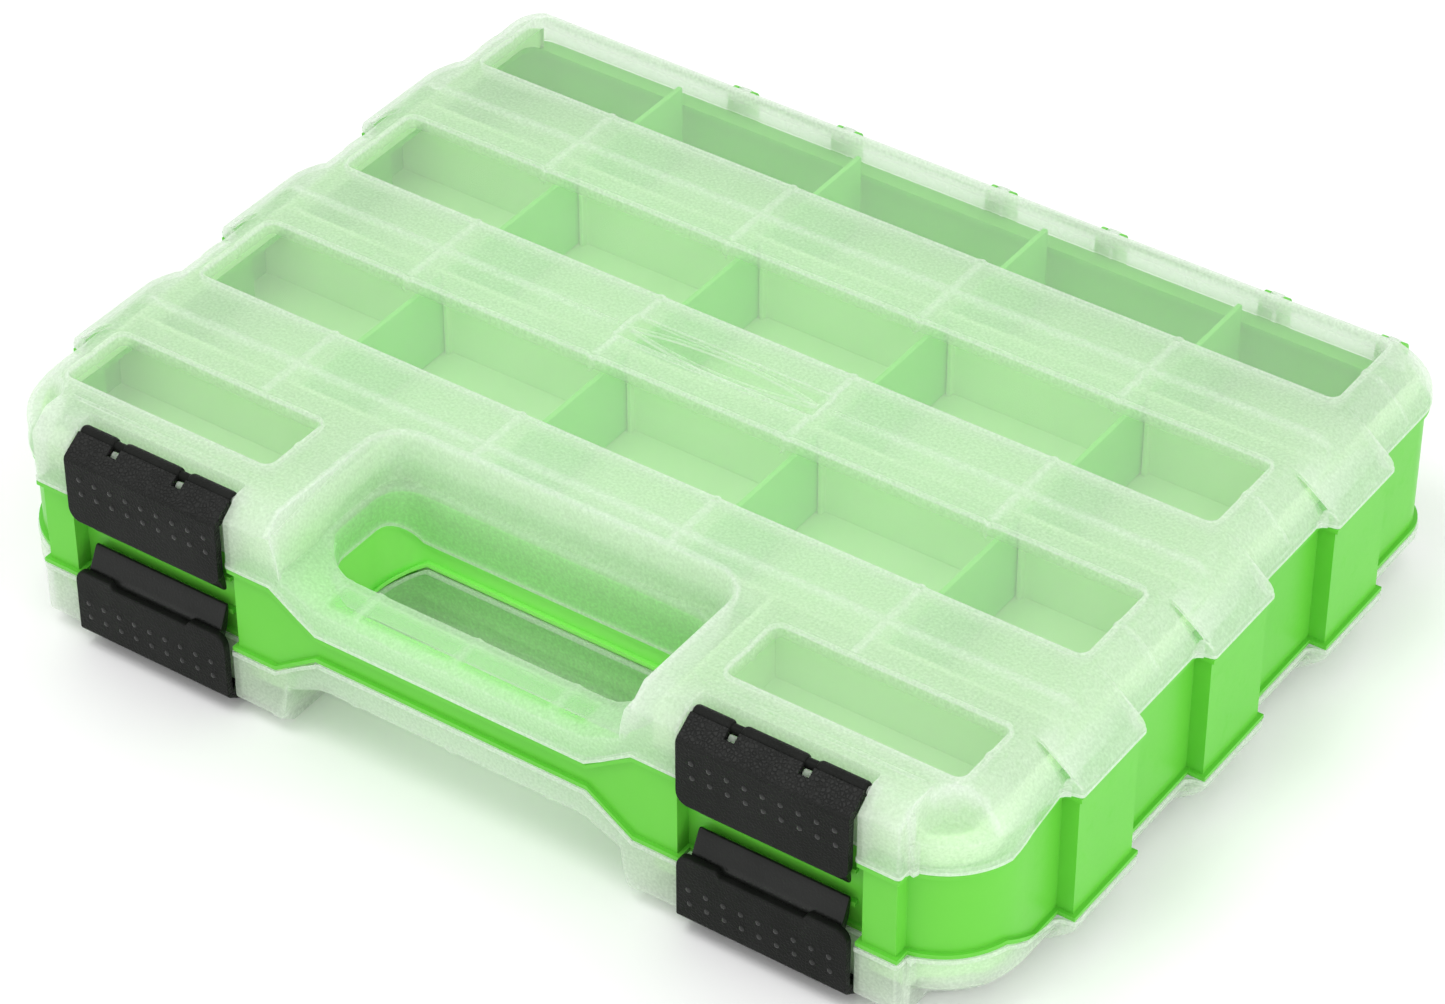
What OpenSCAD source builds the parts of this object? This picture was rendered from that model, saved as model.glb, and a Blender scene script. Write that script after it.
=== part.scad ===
// Double-sided tackle box: green tray, two translucent lids, four latches, loose dividers. Millimetres.
// X is the width, Y runs from the handle (-) to the hinges (+), Z is up, the box stands on its lower lid.

/* [Case] */
// Half the width over the stepped-out side sections
half_w = 160; // [120:200]
// Half the width between the sections
half_in = 155; // [115:195]
// Depth of the front face in front of the origin
front_y = 122; // [100:140]
// Depth of the back wall behind the origin
back_y = 118; // [100:140]
// Height over both lids
height = 70; // [50:100]
// Wall of the lids and of the tray
wall = 1.8; // [1.2:0.1:3]
// Radius of the front corners
corner_r = 25; // [15:35]
// Pitch of the compartment rows
pitch = 63; // [50:75]
// Half the length of a stepped-out side section
step_half = 15.5; // [8:22]

/* [Lid rims] */
// Lid edge above the middle, along the sides and back
rim_side = 20.5; // [14:0.5:24]
// Lid edge above the middle, at the front
rim_front = 14; // [8:18]
// Lid edge above the middle, at the handle
rim_grip = 4.5; // [3:8]
// Gap between a lid edge and the tray
rim_gap = 0.35; // [0.3:0.05:0.6]

/* [Tray] */
// How far the tray's outer wall stands back from the lid edges
band_in = 1.6; // [0.6:0.1:2]
// How far the tray's lips stand back from the lid edges
lip_in = 0.4; // [0.2:0.1:1]
// Thickness of the lips
lip_t = 1.3; // [0.8:0.1:2]
// Half the width over the compartments' rims
rim_half = 149.6; // [140:0.1:149.6]

/* [Windows] */
// Half the length of the long windows
win_half = 140; // [110:145]
// Depth of a window front to back
win_deep = 30; // [20:36]
// How far the windows are sunk
win_sink = 3.5; // [1:5]

/* [Handle] */
// Half the width of the handle recess
grip_half = 56.5; // [45:65]
// Half the length of the hand hole
hole_half = 52; // [40:55]
// Height of the grip bar's top
bar_top = 50; // [46:60]

/* [Latches] */
// Distance of a latch's middle from the centre line
latch_x = 97.25; // [85:110]
// Width of a latch
latch_w = 50.5; // [30:60]
// Height of a latch's free edge
latch_low = 43.5; // [40:46]
// Height of the latch pin
pin_z = 67; // [66:67.5]

/* [Hinges] */
// Distance of the hinge axis behind the back wall
axis_off = 3.3; // [3.2:0.1:4]
// Height of the upper hinge axis
axis_z = 58.5; // [57:60]
// Radius of the hinge pins
pin_r = 1.5; // [1:0.1:2]

/* [Dividers] */
// Spacing of the dividers along a row
div_pitch = 62; // [40:70]
// Thickness of a divider
div_t = 1.6; // [1:0.1:2.5]

/* [Hidden] */
$fn = 48;
mid = height / 2;
axis_y = back_y + axis_off;
tray_top = height - 8;
web_t = 2;
pocket = [latch_x - latch_w / 2 - 0.5, latch_x + latch_w / 2 + 0.5];
latch_y = 115.5;
hooks = [-77, -41, 11, 47, 99, 135];
lugs = [-12.4, 9.3];
lid_cut = 62.3;
rim_back = back_y - 9.6;
rows = [[-pitch + 0.8, -0.9], [0.9, pitch - 0.9], [pitch + 0.9, back_y - 3.6 - wall]];

module rect(x0, x1, y0, y1) { translate([x0, y0]) square([x1 - x0, y1 - y0]); }

module rrect(x0, x1, y0, y1, r) {
    rect(x0 + r, x1 - r, y0, y1);
    rect(x0, x1, y0 + r, y1 - r);
    for (x = [x0 + r, x1 - r], y = [y0 + r, y1 - r]) translate([x, y]) circle(r);
}

module both() { children(); mirror([1, 0, 0]) children(); }

// turns a top part over into the matching bottom one, as the two lids are one moulding
module over() { translate([0, 0, height]) rotate([0, 180, 0]) children(); }

// plan of the case, inset by g
module outline(g) {
    difference() {
        union() {
            rrect(-half_in + g, half_in - g, -60, back_y - g, 14 - g);
            rect(-half_in + g, half_in - g, -93, 0);
            for (k = [-1, 0, 1])
                rect(-half_w + g, half_w - g, k * pitch - step_half + g, k * pitch + step_half - g);
            rect(-half_in + corner_r, half_in - corner_r, -118 + g, -80);
            both() translate([half_in - corner_r, -93]) circle(corner_r - g);
            rect(-136 + g, 136 - g, -front_y + g, -100);
        }
        both() rect(pocket[0] - g, pocket[1] + g, -front_y - 5, -117 + g);
    }
}

module hole_plan(g) { rrect(-hole_half - g, hole_half + g, -107 - g, -75 + g, 9 + g); }

// plan of the compartments, inset by g from the outer face of the tray's inner wall
module cells(g) {
    rrect(-rim_half + g, rim_half - g, -pitch - 1 + g, back_y - 3.6 - g, 6 - g);
    both() {
        rect(58.8 + g, 130, -114.8 + g, -50);
        rect(100, rim_half - g, rim_half - 130 - 114.8, -50);
        translate([130, rim_half - 130 - 114.8]) circle(rim_half - 130 - g);
    }
}

// everything above a lid's edge, moved up by d
module above_rim(d) {
    side = mid + rim_side + d;
    front = mid + rim_front + d;
    grip = mid + rim_grip + d;
    translate([-200, 0, 0]) rotate([90, 0, 90]) linear_extrude(400)
        polygon([[-140, front], [-100, front], [-88, side], [140, side], [140, 90], [-140, 90]]);
    translate([0, -67, 0]) rotate([90, 0, 0]) linear_extrude(80)
        polygon([[-57, front], [-43, grip], [43, grip], [57, front], [57, 90], [-57, 90]]);
}

// a lid's outer form, inset by g
module lid_solid(g) {
    difference() {
        intersection() {
            translate([0, 0, 20]) linear_extrude(height - 20 - g) outline(g);
            translate([0, 140, 0]) rotate([90, 0, 0]) linear_extrude(300)
                polygon([[-half_w + 17 + g, height - g], [-half_w + g, height - 11.5 - g], [-half_w + g, 0],
                         [half_w - g, 0], [half_w - g, height - 11.5 - g], [half_w - 17 - g, height - g]]);
            translate([-200, 0, 0]) rotate([90, 0, 90]) linear_extrude(400)
                polygon([[-front_y + 6.5 + g, height - g], [-front_y + g, height - 5.5 - g], [-front_y + g, 0],
                         [back_y - g, 0], [back_y - g, height - 6 - g], [back_y - 6 - g, height - g]]);
        }
        translate([0, 0, 57 - g]) linear_extrude(40)
            rrect(-grip_half - g, grip_half + g, -150, -70 + g, 10 + g);
        translate([0, 0, bar_top - g]) linear_extrude(40) rect(-grip_half - g, grip_half + g, -140, -95);
        translate([-grip_half - g, 0, -g]) rotate([90, 0, 90]) linear_extrude(2 * (grip_half + g))
            polygon([[-130, bar_top - 5], [-front_y + g - 0.01, bar_top - 5], [-115 + g, bar_top], [-130, bar_top]]);
        linear_extrude(90) hole_plan(g);
        both() translate([0, 0, 64.3 - g]) linear_extrude(20)
            rect(pocket[0] - g, pocket[1] + g, -140, -111.5 + g);
        for (k = [-1, 0, 1]) translate([0, 0, height - win_sink - g]) linear_extrude(20)
            rrect(-win_half - g, win_half + g, k * pitch + 16.5 - g, k * pitch + 16.5 + win_deep + g, 4 + g);
        both() translate([0, 0, height - win_sink - g]) linear_extrude(20)
            rrect(71.5 - g, win_half + g, -102 - g, -79.5 + g, 4 + g);
    }
}

module hook(x) {
    translate([x - 1.7, 0, 0]) difference() {
        union() {
            translate([0, axis_y, axis_z]) rotate([0, 90, 0]) cylinder(r = 3.05, h = 3.4);
            translate([0, back_y - 1, axis_z + 1]) cube([3.4, axis_off + 1, 2]);
        }
        translate([-1, axis_y, axis_z]) rotate([0, 90, 0]) cylinder(r = pin_r + 0.06, h = 6);
    }
}

module latch_pins(x) {
    translate([x, -latch_y, pin_z]) rotate([0, 90, 0]) cylinder(r = 1.2, h = latch_w + 2, center = true);
    for (s = lugs) translate([x + s - 1.6, 0, 0]) {
        translate([0, -latch_y, pin_z]) rotate([0, 90, 0]) cylinder(r = 2, h = 3.2);
        translate([0, -latch_y - 1.6, 63]) cube([3.2, 3.2, pin_z - 63]);
    }
}

module lid() {
    difference() {
        intersection() {
            difference() {
                lid_solid(0);
                lid_solid(wall);
            }
            above_rim(0);
        }
        translate([0, 0, height - 0.3]) linear_extrude(2) rrect(-32, 32, -5.2, 5.2, 1);
    }
    for (k = [-1, 0, 1]) translate([-138, k * pitch - 0.6, height - 4]) cube([276, 1.2, 3]);
    for (k = [-1, 0, 1], i = [-1.5, -0.5, 0.5, 1.5])
        if (k > -1 || abs(i) > 1)
            translate([i * div_pitch - 0.6, k * pitch - 14, height - 3.4]) cube([1.2, 28, 2]);
    for (x = hooks) hook(x);
    latch_pins(-latch_x);
    latch_pins(latch_x);
}

module lid_roof() { intersection() { lid(); translate([-200, -200, lid_cut]) cube([400, 400, 20]); } }

module lid_skirt() {
    difference() {
        intersection() { lid(); translate([-200, -200, 0]) cube([400, 400, lid_cut]); }
        translate([-60, -140, -1]) cube([120, 74, height]);
    }
}

module lid_grip() { intersection() { lid(); translate([-60, -140, 0]) cube([120, 74, lid_cut]); } }

module latch() {
    difference() {
        union() {
            translate([-latch_w / 2, 0, 0]) rotate([90, 0, 90]) linear_extrude(latch_w)
                polygon([[-latch_y, pin_z + 2.2], [-124, 63.6], [-124, latch_low], [-121.8, latch_low],
                         [-121.8, 62.4], [-latch_y, pin_z - 0.8]]);
            translate([0, -latch_y, pin_z]) rotate([0, 90, 0]) cylinder(r = 2.2, h = latch_w, center = true);
            translate([-latch_w / 2 + 3, 0, 0]) rotate([90, 0, 90]) linear_extrude(latch_w - 3.4)
                polygon([[-121.9, latch_low + 4.5], [-121.9, latch_low + 0.4], [-120.3, latch_low - 2.2],
                         [-118.6, latch_low - 5.6], [-117.4, latch_low - 6.2], [-117.4, latch_low - 4.2],
                         [-118.3, latch_low + 0.5], [-120.2, latch_low + 4.5]]);
            for (i = [-4:4]) {
                translate([i * 5.2 - 0.6, -123.9, 59.2]) rotate([90, 0, 0]) cylinder(r = 0.7, h = 0.45);
                translate([i * 5.2 + 0.6, -123.9, 54.2]) rotate([90, 0, 0]) cylinder(r = 0.7, h = 0.45);
            }
        }
        translate([0, -latch_y, pin_z]) rotate([0, 90, 0]) cylinder(r = 1.26, h = latch_w + 2, center = true);
        for (s = lugs) translate([s - 2.1, -118.3, 60]) cube([4.2, 6, 12]);
        translate([-14, -126, latch_low - 1]) cube([28, 4.5, 2.2]);
        both() translate([latch_w / 2 - 3, -130, latch_low + 3]) rotate([-90, 0, 0]) linear_extrude(8.3)
            difference() {
                rect(0, 5, 0, 5);
                circle(3);
            }
    }
}

module ear(x) {
    translate([x - 0.8, axis_y, axis_z]) rotate([0, 90, 0]) cylinder(r = 2.7, h = 1.6);
    translate([x - 0.8, back_y + 0.4, 50]) cube([1.6, axis_off + 2.3, axis_z - 50]);
    translate([x - 0.8, back_y - 1, 49]) cube([1.6, axis_off + 3.7, 5]);
}

module tray_side() {
    for (x = hooks) {
        ear(x - 2.9);
        ear(x + 2.9);
        translate([x - 3, axis_y, axis_z]) rotate([0, 90, 0]) cylinder(r = pin_r, h = 6);
    }
    both() translate([latch_x - 23, -117, latch_low - 3.8]) cube([46, 2, 1.4]);
}

// slots for the divider ends, on a wall face at y that looks along dir
module slots(y, dir, z) {
    for (i = [-1.5, -0.5, 0.5, 1.5], s = [-1, 1])
        translate([i * div_pitch + s * 1.9 - 0.7, dir > 0 ? y : y - 1.8, z]) cube([1.4, 1.8, tray_top - z - 1]);
}

// the band between the two lids' edges, inset by g, its rims moved by d
module band(g, d) {
    difference() {
        linear_extrude(height) difference() { outline(g); hole_plan(g); }
        above_rim(d);
        over() above_rim(d);
    }
}

module tray_all() {
    union() {
        difference() {
            band(band_in, -rim_gap);
            translate([0, 0, -1]) linear_extrude(height + 2) intersection() {
                rect(-60.6, 60.6, -105, -62.2);
                difference() { cells(0); cells(wall); }
            }
            difference() {
                translate([0, 0, 1]) linear_extrude(height - 2)
                    difference() { outline(band_in + wall); hole_plan(band_in + wall); }
                above_rim(-rim_gap - wall);
                over() above_rim(-rim_gap - wall);
            }
            translate([0, 0, -1]) linear_extrude(height + 2) cells(wall);
        }
        difference() {
            band(lip_in, -rim_gap);
            translate([0, 0, -1]) linear_extrude(height + 2)
                difference() { outline(band_in + 0.5); hole_plan(band_in + 0.5); }
            band(0, -rim_gap - lip_t);
        }
        tray_side();
        over() tray_side();
    }
}

// zones the tray's outer wall is divided into
module back_zone() { translate([-200, 104, 0]) cube([400, 40, height]); }
module side_zone() { translate([140, -88, 0]) cube([60, 192, height]); }

// rim wall of the compartments, from the tray's flange up, and the full wall round the handle
module rim_wall() {
    intersection() {
        translate([0, 0, mid]) linear_extrude(tray_top - mid) difference() { cells(0); cells(wall); }
        union() {
            above_rim(-rim_gap);
            translate([-60.6, -105, 0]) cube([121.2, 42.8, height]);
        }
    }
}

// part of the rim wall between two x and two y
module rim_zone(x0, x1, y0, y1) {
    intersection() { rim_wall(); translate([x0, y0, 0]) cube([x1 - x0, y1 - y0, height]); }
}

module tray_shell() {
    color([0.43, 0.86, 0.3]) difference() {
        tray_all();
        translate([-200, 104, -1]) cube([400, 40, height + 2]);
        both() translate([140, -88, -1]) cube([60, 192, height + 2]);
    }
}

module web_plan() { difference() { outline(band_in + wall); rect(-60.6, 60.6, -140, -pitch - 1 + wall); } }

module tray_web() {
    color([0.43, 0.86, 0.3]) translate([0, 0, mid - web_t / 2]) linear_extrude(web_t)
        intersection() { web_plan(); rect(-200, 200, -pitch - 1 + wall, 200); }
}

module tray_web_front() {
    color([0.43, 0.86, 0.3]) translate([0, 0, mid - web_t / 2]) linear_extrude(web_t)
        intersection() { web_plan(); rect(-200, 200, -200, -pitch - 1 + wall); }
}

module row_wall(k) {
    z = mid + web_t / 2;
    translate([-rim_half + wall, k * pitch - 0.9, z]) cube([2 * (rim_half - wall), wall, tray_top - z]);
    translate([-half_w + band_in + wall, k * pitch - 0.9, z])
        cube([2 * (half_w - band_in - wall), wall, rim_side - rim_gap - wall - web_t / 2]);
    slots(k * pitch + 0.9, 1, z);
    slots(k * pitch - 0.9, -1, z);
}

// walls between the first row and the front compartments
module front_walls() {
    z = mid + web_t / 2;
    both() translate([60.6, -pitch - 1, z]) {
        cube([rim_half - wall - 60.6, wall, tray_top - z]);
        cube([half_w - band_in - wall - 60.6, wall, rim_side - rim_gap - wall - web_t / 2]);
    }
}

module divider(row, i, low) {
    z = low ? 8.8 : mid + web_t / 2 + 0.3;
    color([0.55, 0.88, 0.45]) translate([(i - 2.5) * div_pitch - div_t / 2, rows[row - 1][0] + 0.3, z])
        cube([div_t, rows[row - 1][1] - rows[row - 1][0] - 0.6, tray_top - 0.8 - mid - web_t / 2 - 0.3]);
}

module tray_back() { color([0.43, 0.86, 0.3]) intersection() { tray_all(); back_zone(); } }
module tray_side_right() { color([0.43, 0.86, 0.3]) intersection() { tray_all(); side_zone(); } }
module tray_side_left() { color([0.43, 0.86, 0.3]) intersection() { tray_all(); mirror([1, 0, 0]) side_zone(); } }
module tray_rim_top() { color([0.43, 0.86, 0.3]) rim_zone(-200, 200, -200, -pitch - 1 + wall); }
module tray_rim_low() { color([0.43, 0.86, 0.3]) over() rim_zone(-200, 200, -200, -pitch - 1 + wall); }
module rim_sides_top() { color([0.43, 0.86, 0.3]) both() rim_zone(140, 200, -pitch - 1 + wall, rim_back); }
module rim_sides_low() { color([0.43, 0.86, 0.3]) over() both() rim_zone(140, 200, -pitch - 1 + wall, rim_back); }
module rim_corners_top() { color([0.43, 0.86, 0.3]) both() rim_zone(rim_half - 6, 200, rim_back, 200); }
module rim_corners_low() { color([0.43, 0.86, 0.3]) over() both() rim_zone(rim_half - 6, 200, rim_back, 200); }
module rim_back_top() { color([0.43, 0.86, 0.3]) rim_zone(6 - rim_half, rim_half - 6, rim_back, 200); }
module rim_back_low() { color([0.43, 0.86, 0.3]) over() rim_zone(6 - rim_half, rim_half - 6, rim_back, 200); }
module row_wall_top_1() { color([0.43, 0.86, 0.3]) row_wall(0); }
module row_wall_top_2() { color([0.43, 0.86, 0.3]) row_wall(1); }
module row_wall_low_1() { color([0.43, 0.86, 0.3]) over() row_wall(0); }
module row_wall_low_2() { color([0.43, 0.86, 0.3]) over() row_wall(1); }
module front_walls_top() { color([0.43, 0.86, 0.3]) front_walls(); }
module front_walls_low() { color([0.43, 0.86, 0.3]) over() front_walls(); }
module lid_top() { color([0.85, 0.95, 0.85, 0.5]) lid_roof(); }
module lid_low() { color([0.85, 0.95, 0.85, 0.5]) over() lid_roof(); }
module lid_rim_top() { color([0.85, 0.95, 0.85, 0.5]) lid_skirt(); }
module lid_rim_low() { color([0.85, 0.95, 0.85, 0.5]) over() lid_skirt(); }
module lid_grip_top() { color([0.85, 0.95, 0.85, 0.5]) lid_grip(); }
module lid_grip_low() { color([0.85, 0.95, 0.85, 0.5]) over() lid_grip(); }
module latch_top_left() { color([0.1, 0.1, 0.1]) translate([-latch_x, 0, 0]) latch(); }
module latch_top_right() { color([0.1, 0.1, 0.1]) translate([latch_x, 0, 0]) latch(); }
module latch_low_left() { color([0.1, 0.1, 0.1]) over() translate([latch_x, 0, 0]) latch(); }
module latch_low_right() { color([0.1, 0.1, 0.1]) over() translate([-latch_x, 0, 0]) latch(); }
module divider_top_11() { divider(1, 1, false); }
module divider_top_12() { divider(1, 2, false); }
module divider_top_13() { divider(1, 3, false); }
module divider_top_14() { divider(1, 4, false); }
module divider_top_21() { divider(2, 1, false); }
module divider_top_22() { divider(2, 2, false); }
module divider_top_23() { divider(2, 3, false); }
module divider_top_24() { divider(2, 4, false); }
module divider_top_31() { divider(3, 1, false); }
module divider_top_32() { divider(3, 2, false); }
module divider_top_33() { divider(3, 3, false); }
module divider_top_34() { divider(3, 4, false); }
module divider_low_11() { divider(1, 1, true); }
module divider_low_12() { divider(1, 2, true); }
module divider_low_13() { divider(1, 3, true); }
module divider_low_14() { divider(1, 4, true); }
module divider_low_21() { divider(2, 1, true); }
module divider_low_22() { divider(2, 2, true); }
module divider_low_23() { divider(2, 3, true); }
module divider_low_24() { divider(2, 4, true); }
module divider_low_31() { divider(3, 1, true); }
module divider_low_32() { divider(3, 2, true); }
module divider_low_33() { divider(3, 3, true); }
module divider_low_34() { divider(3, 4, true); }

tray_shell();
tray_side_left();
tray_side_right();
tray_back();
tray_rim_top();
tray_rim_low();
rim_sides_top();
rim_sides_low();
rim_corners_top();
rim_corners_low();
rim_back_top();
rim_back_low();
tray_web();
tray_web_front();
row_wall_top_1();
row_wall_top_2();
row_wall_low_1();
row_wall_low_2();
front_walls_top();
front_walls_low();
lid_top();
lid_rim_top();
lid_grip_top();
lid_low();
lid_rim_low();
lid_grip_low();
latch_top_left();
latch_top_right();
latch_low_left();
latch_low_right();
divider_top_11();
divider_top_12();
divider_top_13();
divider_top_14();
divider_top_21();
divider_top_22();
divider_top_23();
divider_top_24();
divider_top_31();
divider_top_32();
divider_top_33();
divider_top_34();
divider_low_11();
divider_low_12();
divider_low_13();
divider_low_14();
divider_low_21();
divider_low_22();
divider_low_23();
divider_low_24();
divider_low_31();
divider_low_32();
divider_low_33();
divider_low_34();
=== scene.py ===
import bpy, bmesh, math
from mathutils import Vector, Matrix
from mathutils.geometry import delaunay_2d_cdt


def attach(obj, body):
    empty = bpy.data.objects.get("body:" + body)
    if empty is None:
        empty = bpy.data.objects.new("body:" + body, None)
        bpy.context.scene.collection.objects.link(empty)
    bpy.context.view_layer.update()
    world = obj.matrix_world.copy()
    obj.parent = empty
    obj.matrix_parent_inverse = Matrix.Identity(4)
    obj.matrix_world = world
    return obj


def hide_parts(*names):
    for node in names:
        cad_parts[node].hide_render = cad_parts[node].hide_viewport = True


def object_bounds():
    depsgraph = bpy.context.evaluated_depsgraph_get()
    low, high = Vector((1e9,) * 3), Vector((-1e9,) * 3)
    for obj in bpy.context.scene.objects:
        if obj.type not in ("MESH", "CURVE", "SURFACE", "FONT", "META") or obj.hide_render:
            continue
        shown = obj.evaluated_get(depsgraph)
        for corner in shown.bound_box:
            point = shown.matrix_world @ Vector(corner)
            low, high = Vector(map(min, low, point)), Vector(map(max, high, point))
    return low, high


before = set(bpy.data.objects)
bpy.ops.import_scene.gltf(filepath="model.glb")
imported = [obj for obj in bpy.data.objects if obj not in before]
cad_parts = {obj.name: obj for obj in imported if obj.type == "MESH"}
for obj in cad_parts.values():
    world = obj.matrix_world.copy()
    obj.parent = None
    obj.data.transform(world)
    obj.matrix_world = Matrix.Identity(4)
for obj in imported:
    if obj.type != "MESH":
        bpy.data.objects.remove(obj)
cadLow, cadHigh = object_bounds()
scene = bpy.context.scene
mm = 0.001
print("frame loaded:", len(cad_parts), "nodes")

# the whole box, in millimetres
caseSizes = {
    "top": cadHigh.z / mm,  # height over both lids
    "halfOut": cadHigh.x / mm,  # over the stepped-out side sections
    "halfIn": 155.0,  # between them
    "front": 122.0, "blockSide": 136.0, "back": 118.0, "backR": 14.0,
    "cornerX": 130.0, "cornerY": -93.0, "cornerR": 25.0,  # the large front corners
    "pitch": 63.0, "stepHalf": 15.5,  # the stepped-out sections along the sides
    "latchX": 97.25, "pocketHalf": 25.75, "latchY": -115.5, "latchZ": 67.0,
    "rimSide": 14.5, "rimFront": 21.0, "rimGrip": 30.5,  # depth of the lid's edge under the top
    "hinge": (121.3, 58.5),  # y and z of the upper hinge line
}
sections = [k * caseSizes["pitch"] for k in (-1, 0, 1)]  # their middles along y


def clamp(v, low=0.0, high=1.0):
    return max(low, min(high, v))


def smooth(a, b, v):
    t = clamp((v - a) / (b - a))
    return t * t * (3 - 2 * t)


def ramp(stops, v):  # straight pieces through (place, value) stops
    if v <= stops[0][0]:
        return stops[0][1]
    for (a, p), (b, q) in zip(stops, stops[1:]):
        if v <= b:
            return p + (q - p) * (v - a) / (b - a)
    return stops[-1][1]


def bump(half, v):  # soft ridge, 1 in the middle and 0 at half
    return 0.5 + 0.5 * math.cos(math.pi * v / half) if abs(v) < half else 0.0


def boxDistance(x, y, cx, cy, hx, hy, r):  # signed distance to a rounded rectangle
    qx, qy = abs(x - cx) - hx + r, abs(y - cy) - hy + r
    return math.hypot(max(qx, 0), max(qy, 0)) + min(max(qx, qy), 0) - r


def roundLoop(cx, cy, hx, hy, r, grow, steps=6):  # rounded rectangle as points
    r = max(r + grow, 0.05)
    hx, hy = hx + grow, hy + grow
    points = []
    for sx, sy, start in ((1, 1, 0), (-1, 1, 90), (-1, -1, 180), (1, -1, 270)):
        for i in range(steps + 1):
            a = math.radians(start + 90 * i / steps)
            points.append((cx + sx * (hx - r) + r * math.cos(a),
                           cy + sy * (hy - r) + r * math.sin(a)))
    return points


def filleted(corners, steps=4):  # polygon corners (x, y, radius) with their fillets
    out, n = [], len(corners)
    for i, (x, y, r) in enumerate(corners):
        p, a, b = Vector((x, y)), Vector(corners[i - 1][:2]), Vector(corners[(i + 1) % n][:2])
        if r <= 0:
            out.append((x, y))
            continue
        u, v = (a - p).normalized(), (b - p).normalized()
        half = math.acos(clamp(u.dot(v), -1, 1)) / 2
        reach = min(r / math.tan(half), (a - p).length * 0.49, (b - p).length * 0.49)
        for k in range(steps + 1):
            t = k / steps
            q = (p + u * reach) * (1 - t) ** 2 + p * 2 * t * (1 - t) + (p + v * reach) * t * t
            out.append((q.x, q.y))
    return out


def insideOf(points):  # gives a test for points inside a closed loop
    def test(x, y):
        hit = False
        for (x0, y0), (x1, y1) in zip(points, points[1:] + points[:1]):
            if (y0 > y) != (y1 > y) and x < (x1 - x0) * (y - y0) / (y1 - y0) + x0:
                hit = not hit
        return hit
    return test


def insetLoop(points, d):  # closed loop moved inwards by d
    out, n = [], len(points)
    for i in range(n):
        a, p, b = Vector(points[i - 1]), Vector(points[i]), Vector(points[(i + 1) % n])
        u, v = (p - a).normalized(), (b - p).normalized()
        m = Vector((-u.y - v.y, u.x + v.x))
        m = m / max(m.length, 1e-6)
        k = max(m.dot(Vector((-u.y, u.x))), 0.5)
        q = p + m * d / k
        out.append((q.x, q.y))
    return out


def placed(name, mesh):  # a mesh, or a bmesh that is then freed, as an object in the scene
    if isinstance(mesh, bmesh.types.BMesh):
        source, mesh = mesh, bpy.data.meshes.new(name)
        source.to_mesh(mesh)
        source.free()
    obj = bpy.data.objects.new(name, mesh)
    scene.collection.objects.link(obj)
    return obj


def bake(obj):  # applies the modifiers through the evaluated mesh
    graph = bpy.context.evaluated_depsgraph_get()
    graph.update()
    mesh = bpy.data.meshes.new_from_object(obj.evaluated_get(graph))
    obj.modifiers.clear()
    old, obj.data = obj.data, mesh
    mesh.name = obj.name
    if old.users == 0:
        bpy.data.meshes.remove(old)
    return obj


def joined(objs, name):  # one object out of several, all at the origin
    bm = bmesh.new()
    mats = []
    for o in objs:
        mesh = o.data.copy()
        for m in mesh.materials:
            if m not in mats:
                mats.append(m)
        shift = [mats.index(m) for m in mesh.materials]
        for p in mesh.polygons:
            p.material_index = shift[p.material_index] if shift else 0
        mesh.transform(o.matrix_world)
        bm.from_mesh(mesh)
        bpy.data.meshes.remove(mesh)
    obj = placed(name, bm)
    for m in mats:
        obj.data.materials.append(m)
    for o in objs:
        bpy.data.objects.remove(o)
    return obj


def turnedOver(obj, name):  # the lower parts are the upper ones turned over
    twin = obj.copy()
    twin.data = obj.data.copy()
    twin.name = twin.data.name = name
    scene.collection.objects.link(twin)
    top = caseSizes["top"] * mm
    twin.data.transform(Matrix.Translation((0, 0, top)) @ Matrix.Rotation(math.pi, 4, "Y"))
    return twin


def seated(piece, name, body, slot, *nodes):  # names a piece, hangs it on its body and hides the frame's nodes that it stands for
    piece.name = piece.data.name = name
    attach(piece, body)
    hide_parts(*nodes)


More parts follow.
